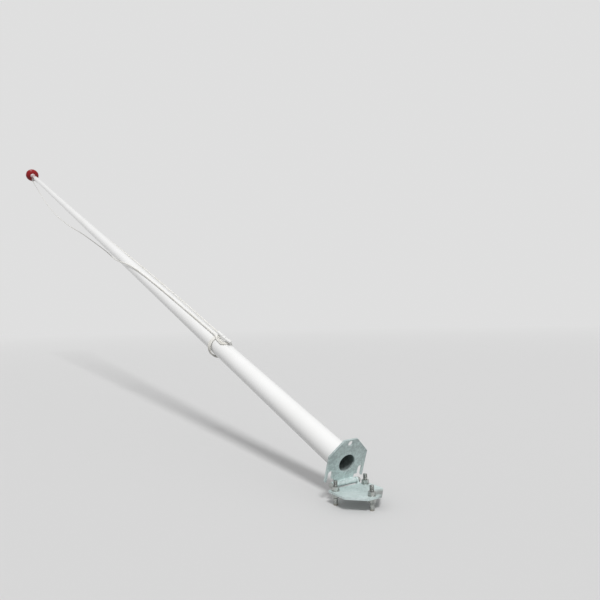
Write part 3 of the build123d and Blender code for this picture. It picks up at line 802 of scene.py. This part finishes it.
def roundedCopy(node, name, width, settings):
    piece = bpy.data.objects.new(name, frame["nodes"][node].data.copy())
    bpy.context.collection.objects.link(piece)
    work = bmesh.new()
    work.from_mesh(piece.data)
    bmesh.ops.remove_doubles(work, verts=work.verts, dist=settings["merge"])
    bmesh.ops.dissolve_limit(work, angle_limit=math.radians(settings["flatAngle"]), verts=work.verts,
                             edges=work.edges, use_dissolve_boundaries=False)
    work.to_mesh(piece.data)
    work.free()
    piece.data.polygons.foreach_set("use_smooth", [True] * len(piece.data.polygons))
    soften = piece.modifiers.new("softEdges", "BEVEL")
    soften.width = width
    soften.segments = settings["segments"]
    soften.limit_method = "ANGLE"
    soften.angle_limit = math.radians(settings["hardAngle"])
    soften.use_clamp_overlap = True
    even = piece.modifiers.new("evenShading", "WEIGHTED_NORMAL")
    even.keep_sharp = False
    return piece


# A node's name as a piece's name
def pieceName(node):
    first, *others = node.split("_")
    return first + "".join(word.capitalize() for word in others)


# Plates and hinge: the body of each and how wide its edges are rounded
steelPieces = {
    "lower_plate": ("base", 0.0009),
    "upper_plate": ("pole", 0.0009),
    "hinge_ear_left": ("base", 0.0008),
    "hinge_ear_right": ("base", 0.0008),
    "hinge_tube": ("pole", 0.0006),
}
for node, (body, width) in steelPieces.items():
    steel = roundedCopy(node, pieceName(node), width, softSettings)
    dress(steel, body, galvanised, "galvanised_steel", node)
print("plates and hinge softened")

fastenerEdge = 0.0004
studFasteners = ("levelling_nut", "seat_nut", "lower_washer", "upper_washer")
fastenerNodes = [f"{kind}_{number}" for kind in studFasteners for number in (1, 2, 3)]
for node in fastenerNodes + ["hinge_bolt", "hinge_nut"]:
    fastener = roundedCopy(node, pieceName(node), fastenerEdge, softSettings)
    dress(fastener, "base", zinc, "zinc_fasteners", node)
print("fasteners softened")

# Truck and sheave at the tip: the name, edge width, finish and slot of each
tipPieces = {
    "truck": ("truckCasting", 0.0005, aluminium, "cast_aluminium"),
    "sheave": ("halyardSheave", 0.0002, whitePlastic, "white_plastic"),
    "sheave_pin": ("sheavePin", 0.0003, zinc, "zinc_fasteners"),
}
for node, (name, width, finish, slot) in tipPieces.items():
    dress(roundedCopy(node, name, width, softSettings), "pole", finish, slot, node)
print("truck and sheave softened")


# Cleat screws: a shank, then a head whose top is edge + dome * (1 - (radius / head) squared), sunk by the
# cross's depth where the smaller of |x| and |y| is inside its width and the larger inside its reach
screwSettings = {
    "middle": 1.130,
    "spacing": 0.034,
    "shank": 0.0025,
    "foot": 0.0478,
    "seat": 0.0677,
    "head": 0.0045,
    "rim": 0.0002,
    "edge": 0.0697,
    "dome": 0.0007,
    "crossWidth": 0.00055,
    "crossReach": 0.0026,
    "crossDepth": 0.0014,
    "crossSlope": 0.00035,
    "rows": 40,
    "segments": 96,
}


# 1 where a distance is inside a limit and 0 outside it, with a slope between
def insideLimit(distance, limit, slope):
    return np.clip((limit - distance) / slope + 0.5, 0, 1)


def makeScrew(number, side, settings):
    head, seat, shank, foot, rim = (settings[part] for part in ("head", "seat", "shank", "foot", "rim"))
    turn = np.linspace(0.0, 2 * np.pi, settings["segments"], endpoint=False)[None, :]
    reach = np.linspace(head, 0.0, settings["rows"])[:, None]
    across = np.sort(np.abs(np.stack([reach * np.cos(turn), reach * np.sin(turn)])), axis=0)
    cross = (insideLimit(across[0], settings["crossWidth"], settings["crossSlope"])
             * insideLimit(across[1], settings["crossReach"], settings["crossSlope"]))
    top = settings["edge"] + settings["dome"] * (1 - (reach / head) ** 2) - settings["crossDepth"] * cross
    under = np.array([(0.0, foot), (shank, foot), (shank, seat), (head - rim, seat), (head, seat + rim)])
    radius = np.concatenate([under[:, :1], reach])[:, :, None]
    level = np.concatenate([np.repeat(under[:, 1:], settings["segments"], axis=1), top])
    level[-1] = level[-1].mean()
    middle = poleFoot + (settings["middle"] + side * settings["spacing"] / 2) * alongPole
    ring = np.cos(turn)[:, :, None] * alongPole + np.sin(turn)[:, :, None] * acrossPlate
    points = middle + level[:, :, None] * upPlate + radius * ring
    piece = linkMesh(f"cleatScrew{number}", points, gridFaces(*level.shape))
    return tidySurface(piece, hardAngle=35.0)


for number, side in ((1, -1), (2, 1)):
    dress(makeScrew(number, side, screwSettings), "pole", zinc, "zinc_fasteners", f"cleat_screw_{number}")
print("cleat screws cut")


# Weld beads: a round ridge along a line, its radius scalloped by |sin| of the running length, with each
# scallop bent back at the sides, swelling and thinning by two slower sines, and rounded off at both ends
weldSettings = {
    "radius": 0.0021,
    "ripple": 0.0026,
    "depth": 0.20,
    "level": 0.6,
    "bend": 0.3,
    "swells": ((0.07, 310.0, 0.0), (0.05, 830.0, 1.0)),
    "cornerSteps": 4,
    "sides": 20,
    "step": 0.00035,
}


def weldBead(name, corners, facing, settings):
    line, length = evenSteps(np.array(corners), settings["step"])
    reach = settings["cornerSteps"]  # corners are rounded by a running mean over as many steps each way
    count, window = len(line), 2 * reach + 1
    padded = np.pad(line, ((reach, reach), (0, 0)), mode="edge")
    line = sum(padded[shift:shift + count] for shift in range(window)) / window
    other = np.cross(directions(line), facing)
    running = np.linspace(0.0, length, count)[:, None]
    turn = np.linspace(0.0, 2 * np.pi, settings["sides"], endpoint=False)[None, :]
    ripple = running / settings["ripple"] - settings["bend"] * np.cos(turn)
    scallop = 1.0 + settings["depth"] * (np.abs(np.sin(np.pi * ripple)) - settings["level"])
    swell = 1.0 + sum(share * np.sin(running * rate + phase) for share, rate, phase in settings["swells"])
    fromEnd = np.clip(np.minimum(running, length - running) / settings["radius"], 0.0, 1.0)
    girth = settings["radius"] * scallop * swell * np.sqrt(1 - (1 - fromEnd) ** 2)
    ring = np.cos(turn)[:, :, None] * np.array(facing) + np.sin(turn)[:, :, None] * other[:, None]
    points = line[:, None] + girth[:, :, None] * ring
    return tidySurface(linkMesh(name, points, gridFaces(count, settings["sides"])), hardAngle=60.0)


# A place up the plate, across it and along the pole from the middle of the hinge
def fromHinge(up, across, along):
    return hinge + up * upPlate + across * acrossPlate + along * alongPole


# Two beads along the tube, in the corners under the tongue and at its end, and an arch over the joint of
# each ear with the lower plate
hingeWelds = {"hingeWeldUnder": (0.0085, 0.0072), "hingeWeldTop": (0.0052, 0.0102)}
hingeWeldReach = 0.0435
earWeldFace = -0.0604
earWeldArch = ((0.0508, 0.0012), (0.0508, 0.0082), (0.0592, 0.0082), (0.0592, 0.0012))
for name, (up, along) in hingeWelds.items():
    ends = [fromHinge(up, across, along) for across in (-hingeWeldReach, hingeWeldReach)]
    dress(weldBead(name, ends, upPlate, weldSettings), "pole", galvanised, "galvanised_steel")
for side, name in ((-1, "earWeldLeft"), (1, "earWeldRight")):
    arch = [(earWeldFace, side * across, height) for across, height in earWeldArch]
    dress(weldBead(name, arch, (1.0, 0.0, 0.0), weldSettings), "base", galvanised, "galvanised_steel")
print("welds laid")


# Carried-over nodes only need their finish
# The spigot wears the galvanised finish darkened with painted shade
carriedOver = {"spigot": shadedGalvanised, "guide_ring_lower": whitePlastic, "guide_ring_upper": whitePlastic,
               "cleat": whitePlastic}
for node, finish in carriedOver.items():
    piece = frame["nodes"][node]
    piece.data.materials.clear()
    piece.data.materials.append(finish)
print("carried-over nodes finished")


# Studio: a pale floor that turns into the pale background far away and throws little light back up, with a
# soft sun and an even sky
studioSettings = {
    "floorSize": 240.0,
    "floorColour": 0.66,
    "floorBounce": 0.28,
    "floorRoughness": 0.9,
    "backdrop": 0.74,
    "fadeStart": 5.0,
    "fadeEnd": 26.0,
    "sun": 1.85,
    "sunAngle": 12.0,
    "sunFrom": (0.55, -0.24, 0.80),
    "sky": 0.55,
}


# 1 for what the camera sees, straight, mirrored or through glass, and 0 for what lights the object
def seenRay(nodes, links):
    rays = nodes.new("ShaderNodeLightPath").outputs
    mirrored = mathNode(nodes, links, "MAXIMUM", rays["Is Glossy Ray"], rays["Is Transmission Ray"])
    return mathNode(nodes, links, "MAXIMUM", rays["Is Camera Ray"], mirrored)


def makeFloor(settings):
    half = settings["floorSize"] / 2
    corners = np.array([(-half, -half, floorHeight), (half, -half, floorHeight),
                        (half, half, floorHeight), (-half, half, floorHeight)])
    floor = linkMesh("studioFloor", corners, np.array([[0, 1, 2, 3]]))
    finish, nodes, links = newFinish("studioFloor")
    shader = nodes["Principled BSDF"]
    shader.inputs["Roughness"].default_value = settings["floorRoughness"]
    seen = seenRay(nodes, links)
    bounce, pale = grey(settings["floorBounce"]), grey(settings["floorColour"])
    links.new(blendColour(nodes, links, seen, bounce, pale), shader.inputs["Base Color"])
    backdrop = nodes.new("ShaderNodeEmission")
    backdrop.inputs["Strength"].default_value = settings["backdrop"]
    distance = nodes.new("ShaderNodeVectorMath")
    distance.operation = "LENGTH"
    links.new(objectPlace(nodes), distance.inputs[0])
    fade = mapRange(nodes, links, distance.outputs["Value"], settings["fadeStart"], settings["fadeEnd"])
    fade.interpolation_type = "SMOOTHSTEP"
    mix = nodes.new("ShaderNodeMixShader")
    links.new(mathNode(nodes, links, "MULTIPLY", fade.outputs["Result"], seen), mix.inputs["Fac"])
    links.new(shader.outputs["BSDF"], mix.inputs[1])
    links.new(backdrop.outputs["Emission"], mix.inputs[2])
    links.new(mix.outputs["Shader"], nodes["Material Output"].inputs["Surface"])
    floor.data.materials.append(finish)


def makeSky(settings):
    world = bpy.data.worlds.new("studioSky")
    bpy.context.scene.world = world
    world.use_nodes = True
    nodes, links = world.node_tree.nodes, world.node_tree.links
    background = nodes["Background"]
    background.inputs["Color"].default_value = (1, 1, 1, 1)
    seenMore = settings["backdrop"] - settings["sky"]
    extra = mathNode(nodes, links, "MULTIPLY", seenRay(nodes, links), seenMore)
    links.new(mathNode(nodes, links, "ADD", extra, settings["sky"]), background.inputs["Strength"])


def makeSun(settings):
    sun = bpy.data.lights.new("softSun", "SUN")
    sun.energy = settings["sun"]
    sun.angle = math.radians(settings["sunAngle"])
    lamp = bpy.data.objects.new("softSun", sun)
    bpy.context.collection.objects.link(lamp)
    lamp.rotation_euler = Vector(settings["sunFrom"]).to_track_quat("Z", "Y").to_euler()


makeFloor(studioSettings)
makeSky(studioSettings)
makeSun(studioSettings)
bpy.context.scene.view_settings.view_transform = "Standard"
print("studio lit")
